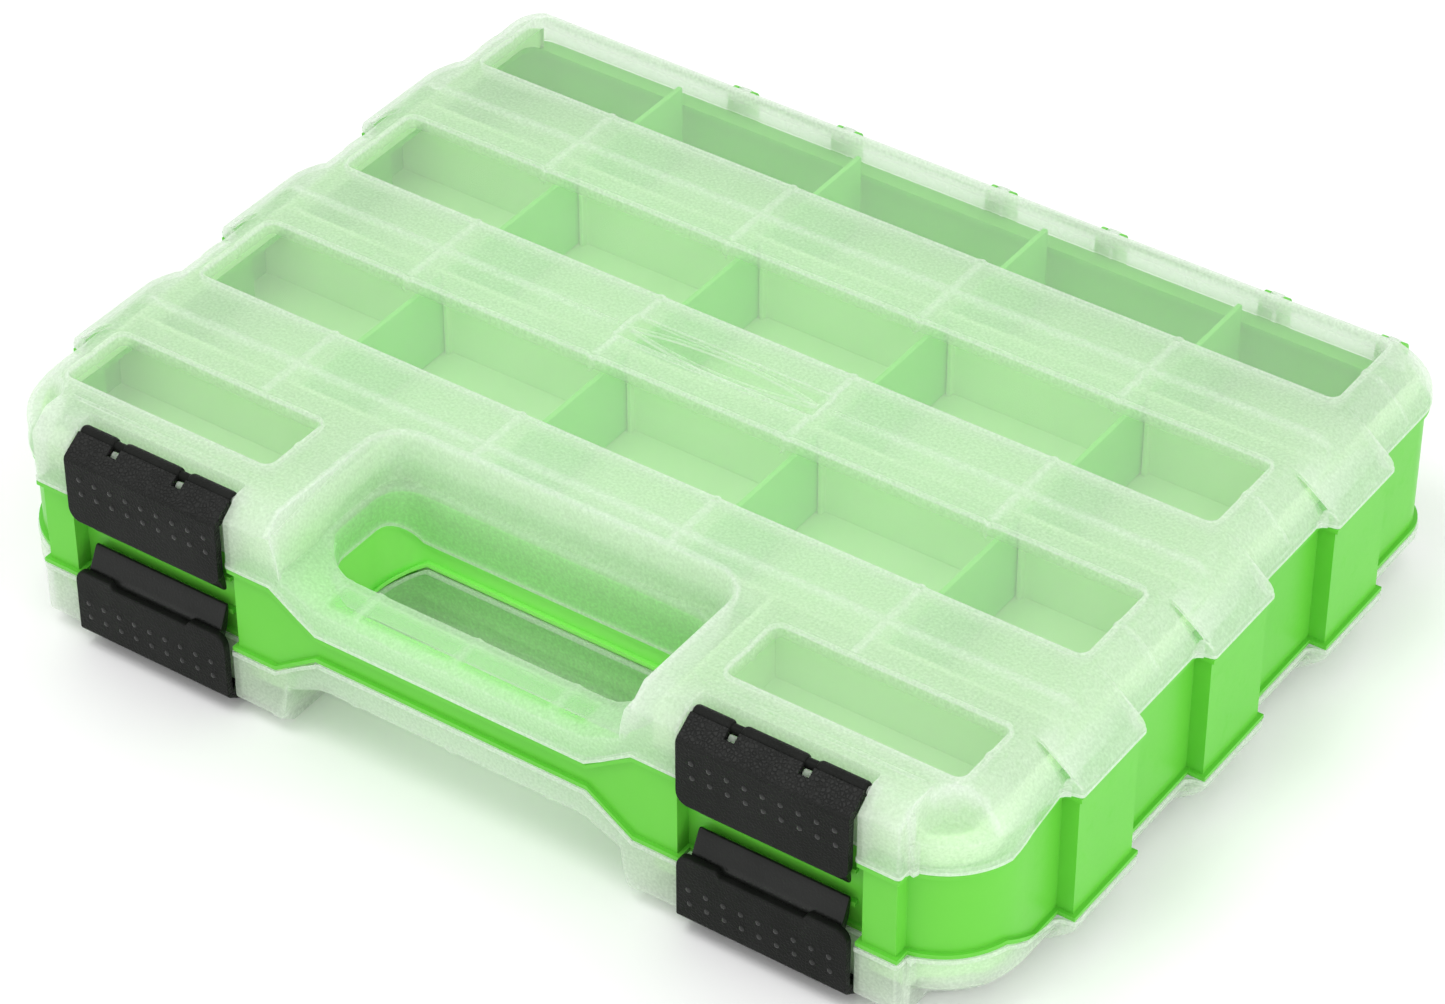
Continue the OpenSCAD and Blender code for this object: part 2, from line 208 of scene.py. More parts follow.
# a shader output that adds, multiplies and mixes like a number
class Sock:
    def __init__(self, tree, link):
        self.tree, self.link = tree, link

    def make(self, kind, settings=None, **inputs):
        node = self.tree.nodes.new(kind)
        for key, value in (settings or {}).items():
            setattr(node, key, value)
        for key, value in inputs.items():  # i0, i1 ... are numbered inputs, the others go by name
            numbered = key[0] == "i" and key[1:].isdigit()
            self.feed(node.inputs[int(key[1:]) if numbered else key.replace("_", " ")], value)
        return node

    def feed(self, socket, value):
        if isinstance(value, Sock):
            self.tree.links.new(value.link, socket)
        else:
            socket.default_value = value

    def maths(self, operation, a, b):
        node = self.make("ShaderNodeMath", {"operation": operation}, i0=a, i1=b)
        return Sock(self.tree, node.outputs[0])

    def __add__(self, other):
        return self.maths("ADD", self, other)

    def __radd__(self, other):
        return self.maths("ADD", other, self)

    def __sub__(self, other):
        return self.maths("SUBTRACT", self, other)

    def __rsub__(self, other):
        return self.maths("SUBTRACT", other, self)

    def __mul__(self, other):
        return self.maths("MULTIPLY", self, other)

    def __pow__(self, other):
        return self.maths("POWER", self, other)

    def attribute(self, name):  # a value painted on the mesh
        node = self.make("ShaderNodeAttribute", {"attribute_name": name})
        return Sock(self.tree, node.outputs["Fac"])

    def clip(self, low, high):  # 0 at low, 1 at high
        node = self.make("ShaderNodeMapRange", {"clamp": True}, i0=self, i1=low, i2=high, i3=0.0, i4=1.0)
        return Sock(self.tree, node.outputs[0])

    def noise(self, scale, detail=2.0, rough=0.5):
        node = self.make("ShaderNodeTexNoise", {}, Vector=self, Scale=scale, Detail=detail, Roughness=rough)
        return Sock(self.tree, node.outputs["Fac"])

    def blend(self, a, b):  # colours a to b by this value
        node = self.make("ShaderNodeMix", {"data_type": "RGBA"}, i0=self, i6=a, i7=b)
        return Sock(self.tree, node.outputs[2])


def startMaterial(name):  # the material, its tree, its shader and where a point lies on the piece
    mat = bpy.data.materials.new(name)
    mat.use_nodes = True
    tree = mat.node_tree
    shader = tree.nodes["Principled BSDF"]
    place = tree.nodes.new("ShaderNodeTexCoord")
    return mat, tree, shader, Sock(tree, place.outputs["Object"])


def wire(at, shader, **links):
    for key, value in links.items():
        at.feed(shader.inputs[key.replace("_", " ")], value)


def bumped(at, height, strength, distance):
    node = at.make("ShaderNodeBump", {}, Height=height, Strength=strength, Distance=distance)
    return Sock(at.tree, node.outputs[0])


lidFinish = {
    "haze": (0.885, 0.95, 0.865, 1), "whiteEdge": (0.935, 0.965, 0.925, 1),
    "green": (0.46, 0.95, 0.36, 1),  # painted light: the tray's green shining through the wall, painted into the lid's colour
    "glow": (0.93, 0.98, 0.92, 1), "through": 0.4,  # part of the haze that lets light on into the box
    "grainScale": 1150.0, "grainDepth": 0.00008, "frostRough": 0.42, "clearRough": 0.16,
    "cloudScale": 38.0, "shine": 0.35,
}


def makeLidMaterial():
    mat, tree, shader, at = startMaterial("frostedLid")
    haze, tint = at.attribute("haze"), at.attribute("tint")
    grain = at.noise(lidFinish["grainScale"], 1.5, 0.6)
    cloud = at.noise(lidFinish["cloudScale"], 3.0, 0.55)
    frost = haze.clip(0.34, 0.52)
    white = haze.clip(0.62, 1.0)
    clear = (1.0 - haze * 0.8 - (grain - 0.5) * 0.6 * frost - (cloud - 0.5) * 0.06).clip(0.0, 1.0)
    smoothWall, frostWall = lidFinish["clearRough"], lidFinish["frostRough"]
    # the green blend paints the tray's light, seen through the wall, into the lid's colour
    wire(at, shader,
         Base_Color=tint.blend(white.blend(lidFinish["haze"], lidFinish["whiteEdge"]), lidFinish["green"]),
         Roughness=frost * (frostWall - smoothWall) + smoothWall + (grain - 0.5) * 0.12 * frost,
         Alpha=1.0 - clear ** 0.5,  # the wall has two faces, so each has half the haze
         Normal=bumped(at, grain * frost, 0.5, lidFinish["grainDepth"]))
    shader.inputs["Specular IOR Level"].default_value = lidFinish["shine"]
    glow = at.make("ShaderNodeBsdfTranslucent", {}, Color=lidFinish["glow"])
    mixed = at.make("ShaderNodeMixShader", {}, i0=haze * lidFinish["through"])
    tree.links.new(shader.outputs[0], mixed.inputs[1])
    tree.links.new(glow.outputs[0], mixed.inputs[2])
    tree.links.new(mixed.outputs[0], tree.nodes["Material Output"].inputs["Surface"])
    return mat


trayFinish = {  # name: green, the deeper green of its clouds, roughness
    "trayGreen": ((0.145, 0.60, 0.052, 1), (0.128, 0.565, 0.045, 1), 0.36),
    # the web and inner greens are painted light: the shell's plastic made paler to stand in for light
    # shining through its thin walls and to lift the shade under the lids
    "trayWebGreen": ((0.60, 0.94, 0.47, 1), (0.57, 0.92, 0.44, 1), 0.4),
    "trayInnerGreen": ((0.62, 0.96, 0.48, 1), (0.59, 0.94, 0.45, 1), 0.4),
    # painted light and shade: the dividers paler than the shell against the lids' shade, darker than the
    # inner walls for their own shade
    "dividerGreen": ((0.235, 0.78, 0.13, 1), (0.22, 0.76, 0.12, 1), 0.4),
    "lit": (0.33, 0.93, 0.17, 1),  # inside the hand hole, where the wall shines through
    "grainDepth": 0.00003, "shine": 0.25, "soft": 0.08, "softReach": (0.002, 0.006, 0.001),
}


def makeTrayMaterial(name):
    green, deep, rough = trayFinish[name]
    mat, tree, shader, at = startMaterial(name)
    cloud = at.noise(22.0, 4.0, 0.6)
    fine = at.noise(900.0, 2.0, 0.5)
    scuff = at.noise(140.0, 3.0, 0.7).clip(0.56, 0.75)
    moulded = cloud.clip(0.3, 0.7).blend(green, deep)
    wire(at, shader,
         Base_Color=at.attribute("lit").blend(moulded, trayFinish["lit"]),
         Roughness=rough + (fine - 0.5) * 0.1 + scuff * 0.1,
         Normal=bumped(at, fine, 0.25, trayFinish["grainDepth"]))
    shader.inputs["Specular IOR Level"].default_value = trayFinish["shine"]
    shader.inputs["Subsurface Weight"].default_value = trayFinish["soft"]
    shader.inputs["Subsurface Radius"].default_value = trayFinish["softReach"]
    return mat


latchFinish = {
    # the black is lifted towards the grey by random clouds, a real tone, and by the grain mask, a painted
    # sheen on the grained slope
    "black": (0.0045, 0.0055, 0.0042, 1), "worn": (0.03, 0.031, 0.0295, 1),
    "grainScale": 950.0, "grainDepth": 0.0004,
    # roughness and shine of the plate, the bumps and the hook
    "leatherGrainBlack": (0.42, 0.09), "glossBlack": (0.2, 0.5), "smoothBlack": (0.3, 0.3),
}


def makeLatchMaterial(name):
    rough, shine = latchFinish[name]
    mat, tree, shader, at = startMaterial(name)
    leather = at.make("ShaderNodeTexVoronoi", {"feature": "DISTANCE_TO_EDGE"},
                      Vector=at, Scale=latchFinish["grainScale"])
    cells = Sock(tree, leather.outputs["Distance"]).clip(0.0, 0.22)
    cloud = at.noise(60.0, 3.0, 0.6)
    grainAndSheenMask = at.attribute("grain")
    # painted sheen: the grain mask lightens the slope's colour for the highlights in its grain; the clouds
    # add real random tone
    toneAndSheen = cloud.clip(0.35, 0.75) * 0.25 + grainAndSheenMask * 0.75
    height = cells * grainAndSheenMask + at.noise(1500.0, 1.0, 0.5) * 0.15
    wire(at, shader,
         Base_Color=toneAndSheen.blend(latchFinish["black"], latchFinish["worn"]),
         Roughness=rough + (cloud - 0.5) * 0.12 + grainAndSheenMask * 0.04,
         Normal=bumped(at, height, 1.0, latchFinish["grainDepth"]))
    shader.inputs["Specular IOR Level"].default_value = shine
    return mat


lidMaterial = makeLidMaterial()
trayMaterial = makeTrayMaterial("trayGreen")
# the web and inner materials paint light into the tray's green
webMaterial = makeTrayMaterial("trayWebGreen")
innerMaterial = makeTrayMaterial("trayInnerGreen")
# the divider material paints light and shade into the tray's green
dividerMaterial = makeTrayMaterial("dividerGreen")
latchMaterial = makeLatchMaterial("leatherGrainBlack")
bumpMaterial = makeLatchMaterial("glossBlack")
hookMaterial = makeLatchMaterial("smoothBlack")
print("materials made")

# the upper lid: depths are measured down from its top plane
lidShape = {
    "plateauX": 143.0, "bandLevel": 0.5, "winHalf": 140.0, "winR": 2.5,
    "gripHalf": 56.5, "gripBack": -70.0, "gripR": 10.0,  # recess for the hand
    "holeHalf": 52.0, "holeFront": -107.0, "holeBack": -75.0,
    "holeR": 9.0, "ledge": 13.0, "bar": 20.0, "rampIn": 41.0, "rampOut": 55.0, "rampTop": 14.0,
    "shelf": 5.7, "pocketBack": -111.5, "wall": 1.5, "ribX": [-93, -31, 31, 93], "barRibs": [-31, 0, 31],
    "scoop": (147, -114), "scoopR": 12.5,  # the hollow beside each latch block
    "creases": [-31.5, 31.5, 94.5], "frontRib": -107.6,
    "backEdge": 110.0,  # where the fall to the hinges begins
}
# each profile goes through (place, depth); shoulder and back run from 0 to 1 of their width
winProfile = [(-1.3, 3.75), (-1.05, 3.7), (-0.8, 3.35), (-0.5, 2.5), (-0.2, 1.4), (0.1, 0.55), (0.4, 0.14),
              (0.8, 0.0), (1.15, 0.12), (1.55, 0.36), (2.0, 0.5)]
winHaze = [(-1.4, 0.33), (-1.0, 0.3), (-0.4, 0.5), (0.2, 0.58), (0.6, 0.92), (1.0, 0.92), (1.5, 0.66),
           (2.0, 0.6)]  # haze instead of depth
gripProfile = [(-3.6, 13.0), (-3.1, 12.7), (-2.6, 11.6), (-0.5, 2.4), (0.0, 0.9), (0.35, 0.35), (0.8, 0.05),
               (1.2, 0.0), (1.8, 0.25), (2.4, 0.5)]
scoopProfile = [(0, 0), (0.6, 3.0), (2.0, 7.0), (3.5, 9.3), (5, 9.7)]
shoulderProfile = [(0.0, 0.0), (0.06, 0.1), (0.14, 0.5), (0.3, 1.9), (0.55, 4.9), (0.78, 8.0), (0.9, 9.9),
                   (0.97, 11.2), (1.0, 11.7)]
backProfile = [(0.0, 0.0), (0.12, 0.15), (0.3, 0.8), (0.8, 4.8), (0.93, 6.3), (1.0, 7.4)]
frontProfile = [(-122.0, 6.3), (-121.4, 5.0), (-120.6, 4.2), (-116.4, 0.8), (-115.6, 0.25), (-114.8, 0.0)]
barProfile = [(-122.0, 3.4), (-121.5, 2.1), (-120.6, 1.2), (-119.0, 0.5), (-116.5, 0.1), (-112.0, 0.0),
              (-107.0, 0.3)]
# the windows as middle and half sizes: three long ones and two short ones at the front
windows = [(0, c + 31.5, lidShape["winHalf"], 15.0) for c in sections]
windows += [(s * 105.75, -90.75, 34.25, 11.25) for s in (-1, 1)]


def halfAt(y):  # half width of the case at y, over the stepped sides
    step, h = 0.0, caseSizes["stepHalf"]
    for c in sections:
        step = max(step, smooth(c - h - 0.8, c - h + 0.8, y) * smooth(c + h + 0.8, c + h - 0.8, y))
    return caseSizes["halfIn"] + (caseSizes["halfOut"] - caseSizes["halfIn"]) * step


def inScoop(ax, y):  # how far a point lies inside the hollow beside the latch block
    cx, cy = lidShape["scoop"]
    return lidShape["scoopR"] - math.hypot(ax - cx, y - cy)


def rearCorner():  # middle of the rounded rear corner
    return caseSizes["halfIn"] - caseSizes["backR"], caseSizes["back"] - caseSizes["backR"]


def shoulder(ax, y):  # fall of the lid towards its sides, back and front
    s, c, wide = lidShape["plateauX"], caseSizes, lidShape["backEdge"]
    if y < c["cornerY"]:
        side, inner = 0.0, s - c["cornerX"]  # radius at which the fall starts
        if ax > c["cornerX"]:
            r = math.hypot(ax - c["cornerX"], y - c["cornerY"])
            side = ramp(shoulderProfile, (r - inner) / (c["cornerR"] - inner))
        side = max(side, ramp(scoopProfile, inScoop(ax, y)))
        w = smooth(135.5, 136.4, ax)
        return side * w + ramp(frontProfile, y) * (1 - w)
    cx, cy = rearCorner()
    if ax > cx and y > cy:
        r, t = math.hypot(ax - cx, y - cy), math.atan2(y - cy, ax - cx) / (math.pi / 2)
        side = ramp(shoulderProfile, (r - s + cx) / (c["halfIn"] - s))
        return (1 - t) * side + t * ramp(backProfile, (r - wide + cy) / (c["back"] - wide))
    side = ramp(shoulderProfile, (ax - s) / (halfAt(y) - s))
    rear = ramp(backProfile, (y - wide) / (c["back"] - wide))
    return (side ** 4 + rear ** 4) ** 0.25


def ridges(x, y):  # how much the soft ribs stand up, 0 to 1
    ax, up = abs(x), 0.0
    for c in sections:
        if not (c == 0.0 and ax < 33.2):
            up = max(up, bump(2.3, y - c) * smooth(151, 144, ax))
        if abs(y - c) < 15.2:
            for rx in lidShape["ribX"]:
                if not (c < 0 and abs(rx) < 50 and y < -69):
                    up = max(up, bump(1.9, x - rx) * smooth(15.2, 14.2, abs(y - c)))
    for c in lidShape["creases"]:  # down the shoulder beside each window
        up = max(up, bump(1.0, y - c) * smooth(141, 144, ax) * smooth(156, 152, ax))
    return max(up, bump(1.1, y - lidShape["frontRib"]) * smooth(60, 63, ax) * smooth(134, 131, ax))


# small blank name plate in the middle band, with two arcs and a dot on it
plateShape = {"half": (32, 5.4), "r": 0.8, "arcRise": 3.7, "arcHalf": 30.5, "dotX": 2}


def plateEdge(x, y):  # distance to the plate's edge
    return boxDistance(x, y, 0, 0, *plateShape["half"], plateShape["r"])


def plateArc(x):
    return plateShape["arcRise"] * (1 - (x / plateShape["arcHalf"]) ** 2)


def plate(x, y):
    if abs(x) > 33.5 or abs(y) > 7:
        return None
    d = plateEdge(x, y)
    if d > 0.9:
        return None
    level = ramp([(-1.2, 0.42), (-0.7, 0.3), (-0.2, 0.0), (0.3, 0.0), (0.9, 0.5)], d)
    if d < -0.7:
        level -= 0.3 * max(bump(0.55, abs(y) - plateArc(x)), 0)
        level -= 0.42 * smooth(1.3, 0.7, math.hypot(x - plateShape["dotX"], y))
    return max(level, 0.0)


def gripEdge(x, y):  # distance to the edge of the recess for the hand
    return boxDistance(x, y, 0, -130, lidShape["gripHalf"], 130 + lidShape["gripBack"], lidShape["gripR"])


def onBar(x, y):
    return gripEdge(x, y) < -1.5 and y < -105


holeBox = (0, (lidShape["holeFront"] + lidShape["holeBack"]) / 2, lidShape["holeHalf"],
           (lidShape["holeBack"] - lidShape["holeFront"]) / 2, lidShape["holeR"])


def gripFloor(x, y):  # ledge round the hand hole and the bar in front of it
    s, ax = lidShape, abs(x)
    ends = [(s["rampIn"], s["bar"]), (s["rampIn"] + 1.5, s["bar"] - 0.3), (s["rampOut"], s["rampTop"])]
    bar = ramp(ends, ax)
    bar += ramp(barProfile, y)
    for rx in s["barRibs"]:
        bar -= 0.55 * bump(1.9, x - rx)
    bar -= 0.3 * bump(1.2, ax - s["rampIn"])
    level = s["ledge"] + (bar - s["ledge"]) * smooth(-99, -106.5, y)
    return level + ramp([(0.0, 1.3), (0.35, 0.6), (0.9, 0.15), (1.5, 0.0)], boxDistance(x, y, *holeBox))


def windowAt(x, y):  # distance to the nearest window's edge, with its notches and rib ends
    for cx, cy, hx, hy in windows:
        if abs(y - cy) < hy + 3 and abs(x - cx) < hx + 3:
            d = boxDistance(x, y, cx, cy, hx, hy, lidShape["winR"])
            if abs(x - cx) > hx - 3:
                d += 0.45 * bump(1.6, y - cy)
            if cx == 0 and abs(y - cy) > hy - 3:
                for rx in lidShape["ribX"]:
                    d += 0.7 * bump(1.7, x - rx)
            return d
    return None


def creaseAt(ax, y):  # the clear slits and white edges where the shoulders step out and in
    if not 144 < ax < 159:
        return 0.0
    value, h = 0.0, caseSizes["stepHalf"]
    for c in sections:
        value += 0.5 * bump(0.7, y - c + h - 1.0) - 0.6 * bump(1.0, y - c + h)
        value += 0.5 * bump(0.8, y - c - h + 0.2)
    return value * smooth(144.5, 148, ax) * smooth(158.6, 156, ax)


def lidDepth(x, y):  # depth of the lid's surface under the top plane
    ax, s = abs(x), lidShape
    base = shoulder(ax, y)
    up = ridges(x, y)
    depth = base + s["bandLevel"] * (1 - up)
    d = windowAt(x, y)
    if d is not None and d < 2.0:
        own = ramp(winProfile, d)
        depth = own + base if d < 0.8 else min(own + base, depth)
    named = plate(x, y)
    if named is not None:
        depth = named
    d = gripEdge(x, y)
    if d < 2.4:
        wall = ramp(gripProfile, d)
        wall = max(wall, base) if y < -112 else wall
        if d < -0.5:
            wall = min(wall, gripFloor(x, y)) if wall < s["ledge"] - 0.5 else gripFloor(x, y)
        depth = wall if d < 1.2 else min(wall, depth)
    d = boxDistance(ax, y, caseSizes["latchX"], s["pocketBack"] - 20, caseSizes["pocketHalf"], 20, 0.8)
    if d < 0.6:
        depth = depth + (s["shelf"] - depth) * smooth(0.4, -0.4, d)
    return depth


def plateHaze(x, y):  # clearer field, milky frame and arcs of the name plate
    if abs(x) > 34 or abs(y) > 7:
        return 0.0
    d = plateEdge(x, y)
    arc = 0.4 * bump(0.6, abs(y) - plateArc(x)) if abs(x) < plateShape["arcHalf"] else 0
    return 0.35 * bump(0.7, d) - 0.24 * smooth(-0.2, -0.8, d) + arc


def barPanel(x, y):  # 1 in the clearer panels of the grip bar
    end = lidShape["rampIn"]
    panel = smooth(-109.6, -111.4, y) * smooth(-119.6, -118.0, y) * smooth(end, end - 1.5, abs(x))
    for rx in lidShape["barRibs"]:
        panel *= 1 - bump(2.0, x - rx)
    return panel


def lidSlope(x, y, e=0.15):
    across, along = lidDepth(x + e, y) - lidDepth(x - e, y), lidDepth(x, y + e) - lidDepth(x, y - e)
    return math.hypot(across, along) / (2 * e)


def lidHaze(x, y):  # how milky the moulding looks at a point
    d, ax = windowAt(x, y), abs(x)
    if d is not None and d < 2.0:
        return ramp(winHaze, d)
    haze = 0.655 + plateHaze(x, y) + 0.1 * clamp(lidSlope(x, y) / 1.2) + 0.3 * ridges(x, y) + creaseAt(ax, y)
    d = gripEdge(x, y)
    haze += 0.3 * bump(1.4, d - 1.0) - 0.1 * smooth(0, -3, d)
    if onBar(x, y):  # clearer panels in a milky frame
        haze -= 0.04 + 0.16 * barPanel(x, y)
    if ax > 136 and y < -95:
        haze += 0.4 * bump(1.1, inScoop(ax, y) - 0.3) - 0.22 * smooth(0.8, 2.5, inScoop(ax, y))
    return clamp(haze)


def lidPaintedShineThrough(x, y):  # painted light: the tray's green shining through the walls of the recess, painted into the lid's colour
    ledge = 0.2 * smooth(-1.0, -3.2, gripEdge(x, y)) * smooth(-107.5, -104, y)
    return ledge + (0.15 + 0.4 * barPanel(x, y) if onBar(x, y) else 0)


def rimDepth(x, y):  # depth of the lid's lower edge
    c = caseSizes
    rim = ramp([(-100, c["rimFront"]), (-88, c["rimSide"])], y)
    if y < -67:
        grip = ramp([(43, c["rimGrip"]), (57, c["rimFront"])], abs(x))
        if abs(x) < 57:
            rim = max(rim, grip)
    return rim


def caseOutline():  # the box seen from above, right half first
    c, (cx, cy) = caseSizes, rearCorner()
    p0, p1 = c["latchX"] - c["pocketHalf"], c["latchX"] + c["pocketHalf"]
    right = [(p0, -c["front"], 0.8), (p0, -117, 0.6), (p1, -117, 0.6), (p1, -c["front"], 0.8),
             (c["blockSide"], -c["front"], 1.6)]
    start = math.atan2(-math.sqrt(c["cornerR"] ** 2 - 36), 6)
    right.append((c["blockSide"], c["cornerY"] + c["cornerR"] * math.sin(start) + 0.3, 1.6))
    for i in range(1, 15):
        a = start * (1 - i / 14)
        right.append((c["cornerX"] + c["cornerR"] * math.cos(a),
                      c["cornerY"] + c["cornerR"] * math.sin(a), 0))
    for middle in sections:
        for e, first, then in ((-1, c["halfIn"], c["halfOut"]), (1, c["halfOut"], c["halfIn"])):
            y = middle + e * c["stepHalf"]
            right += [(first, y - 0.6, 1.3), (then, y + 0.6, 1.3)]
    for i in range(9):
        a = math.radians(90 * i / 8)
        right.append((cx + c["backR"] * math.cos(a), cy + c["backR"] * math.sin(a), 0))
    left = [(-x, y, r) for x, y, r in reversed(right)]
    return filleted(right + left)


outline = caseOutline()
holeLoop = roundLoop(*holeBox, 0.0, 8)


def arcAround(cx, cy, r, start, sweep, steps, side=1):  # side -1 mirrors it to the left
    angles = [math.radians(start + sweep * i / steps) for i in range(steps + 1)]
    return [(side * (cx + r * math.cos(a)), cy + r * math.sin(a)) for a in angles]


def windowLines(loops, lines):
    for cx, cy, hx, hy in windows:
        for d, _ in winProfile:
            loops.append(roundLoop(cx, cy, hx, hy, lidShape["winR"], d))
        for side in (-1, 1):
            for dy in (-1.6, -0.8, 0.0, 0.8, 1.6):
                lines.append([(cx + side * (hx - 2.8), cy + dy), (cx + side * (hx + 2.2), cy + dy)])


def sideLines(lines, side):  # along and across one shoulder, from the front corner to the back
    s, c = lidShape, caseSizes
    inner, stops = s["plateauX"] - c["cornerX"], [-85, 100, 108, 112, 118]
    for middle in sections:
        for e in (-1, 1):
            stops += [middle + e * (c["stepHalf"] + d) for d in (-0.8, -0.4, 0, 0.4, 0.8, 8)]
    for u in [v for v, _ in shoulderProfile[:-1]] + [0.42, 0.67]:
        r = inner + u * (c["cornerR"] - inner)
        path = arcAround(c["cornerX"], c["cornerY"], r, -90, 90, 12, side)
        path += [(side * (s["plateauX"] + u * (halfAt(y) - s["plateauX"])), y) for y in sorted(stops)]
        lines.append(path)
    for r in (2.0, 3.7, 5.6, 7.2, 8.6, 10.2, 11.4, 12.8):
        lines.append(arcAround(*rearCorner(), r, 0, 90, 8, side))
    for middle in sections:
        for e in (-1, 1):
            for d in (-1.2, -0.8, -0.4, 0, 0.4, 0.8, 1.2):
                y = middle + e * c["stepHalf"] + d
                lines.append([(side * s["plateauX"], y), (side * 161, y)])


def frontLines(lines, side):  # latch block, creases, front rib and the ends of the bar
    s = lidShape
    for y, _ in frontProfile:
        lines.append([(side * 57, y), (side * 136.4, y)])
    for x in (135.5, 135.95, 136.4):
        lines.append([(side * x, -122), (side * x, -100)])
    for dy in (-1.0, -0.5, 0, 0.5, 1.0):
        for cy in s["creases"]:
            lines.append([(side * 141, cy + dy), (side * 156, cy + dy)])
        y = s["frontRib"] + dy * 1.1
        lines.append([(side * 60, y), (side * 134, y)])
    for x in [s["rampIn"] + d for d in (-1.2, -0.6, 0, 0.6, 1.5, 7)] + [s["rampOut"]]:
        lines.append([(side * x, -122), (side * x, -99)])


def ribLines(lines):  # the bands between the windows, the fall to the hinges and the bar
    for middle in sections:
        for dy in (-2.3, -1.5, -0.8, 0, 0.8, 1.5, 2.3):
            lines.append([(x, middle + dy) for x in (-151, -147.5, -144, -60, 60, 144, 147.5, 151)])
        for rx in lidShape["ribX"]:
            for dx in (-1.9, -1.2, -0.6, 0, 0.6, 1.2, 1.9):
                lines.append([(rx + dx, middle + dy) for dy in (-18.4, -15.2, -14.2, 14.2, 15.2, 18.4)])
    for u, _ in backProfile[:-1]:
        y = lidShape["backEdge"] + u * (caseSizes["back"] - lidShape["backEdge"])
        lines.append([(-155, y), (155, y)])
    for y in [v for v, _ in barProfile[1:]] + [-99, -101, -103, -105, -106.5, -110, -111.5, -118, -119.4]:
        lines.append([(-55, y), (55, y)])
    for rx in lidShape["barRibs"]:
        for dx in (-1.9, -1.0, 0, 1.0, 1.9):
            lines.append([(rx + dx, -122), (rx + dx, -107)])


def plateLines(loops, lines):
    for d in (-1.2, -0.7, -0.2, 0.3, 0.9):
        loops.append(roundLoop(0, 0, *plateShape["half"], plateShape["r"], d, 2))
    for sy in (-1, 1):
        for off in (-0.55, -0.25, 0, 0.25, 0.55):
            lines.append([(x * 1.55, sy * (plateArc(x * 1.55) + off)) for x in range(-19, 20)])
    for i in range(-10, 11):  # cross lines keep the plate and the bar evenly meshed
        lines.append([(i * 3.07, -6.4), (i * 3.07, 6.4)])
        lines.append([(i * 3.93 + 0.5, -121.9), (i * 3.93 + 0.5, -107.2)])
    for r in (0.7, 1.0, 1.3):
        loops.append(arcAround(plateShape["dotX"], 0, r, 0, 337.5, 15))


def featureLines():  # where the lid's surface bends, so that its mesh follows every edge
    s, c, loops, lines = lidShape, caseSizes, [], []
    windowLines(loops, lines)
    for d, _ in gripProfile:
        loops.append(roundLoop(0, -130, s["gripHalf"], 130 + s["gripBack"], s["gripR"], d, 8))
    for d in (0.35, 0.9, 1.5):
        loops.append(roundLoop(*holeBox, d, 8))
    for side in (-1, 1):
        for d in (0.4, 0.0, -0.4):
            loops.append(roundLoop(side * c["latchX"], s["pocketBack"] - 20, c["pocketHalf"], 20, 0.8, d, 3))
        for r in (12.5, 11.9, 10.5, 9.0, 7.5):
            loops.append(arcAround(*s["scoop"], r, 0, 348.75, 31, side))
        sideLines(lines, side)
        frontLines(lines, side)
    ribLines(lines)
    plateLines(loops, lines)
    return loops, lines


def buildLidSkin():  # the roof seen from above, as points and triangles
    edgeLoop = insetLoop(outline, 0.6)
    verts, edges = [], []

    def add(points, closed):
        first = len(verts)
        verts.extend(Vector(p) for p in points)
        n = len(points)
        edges.extend((first + i, first + (i + 1) % n) for i in range(n if closed else n - 1))

    add(edgeLoop, True)
    add(holeLoop, True)
    loops, lines = featureLines()
    for p in loops:
        add(p, True)
    for p in lines:
        add(p, False)
    for i in range(-26, 27):  # loose points keep the flats from long thin triangles
        for j in range(-20, 20):
            verts.append(Vector((i * 6.03 + 0.31, j * 6.07 + 0.17)))
    out = delaunay_2d_cdt(verts, edges, [], 0, 1e-4)
    points, faces = out[0], out[2]
    inEdge, inHole = insideOf(edgeLoop), insideOf(holeLoop)
    kept = []
    for f in faces:
        cx, cy = sum(points[i].x for i in f) / 3, sum(points[i].y for i in f) / 3
        if inEdge(cx, cy) and not inHole(cx, cy):
            kept.append(f)
    return points, kept


def openLoops(bm):  # the open edges of a surface as rings of vertices, the outside on their right
    following, rings = {}, []
    for e in bm.edges:
        if len(e.link_loops) == 1:
            loop = e.link_loops[0]
            following[loop.vert] = loop.link_loop_next.vert
    while following:
        v, ring = next(iter(following)), []
        while v in following:
            ring.append(v)
            v = following.pop(v)
        rings.append(ring)
    return rings


# rows of the wall under the roof's edge: measured from the roof or the rim, distance out, drop, haze
skirtRows = [("roof", 0.25, 0.35, 0.7), ("roof", 0.36, 0.95, 0.6), ("rim", 0.36, -1.75, 0.55),
             ("rim", 0.6, -1.35, 0.62), ("rim", 0.6, -1.1, 0.98), ("rim", 0.6, -0.3, 1.0),
             ("rim", 0.45, 0.0, 1.0)]


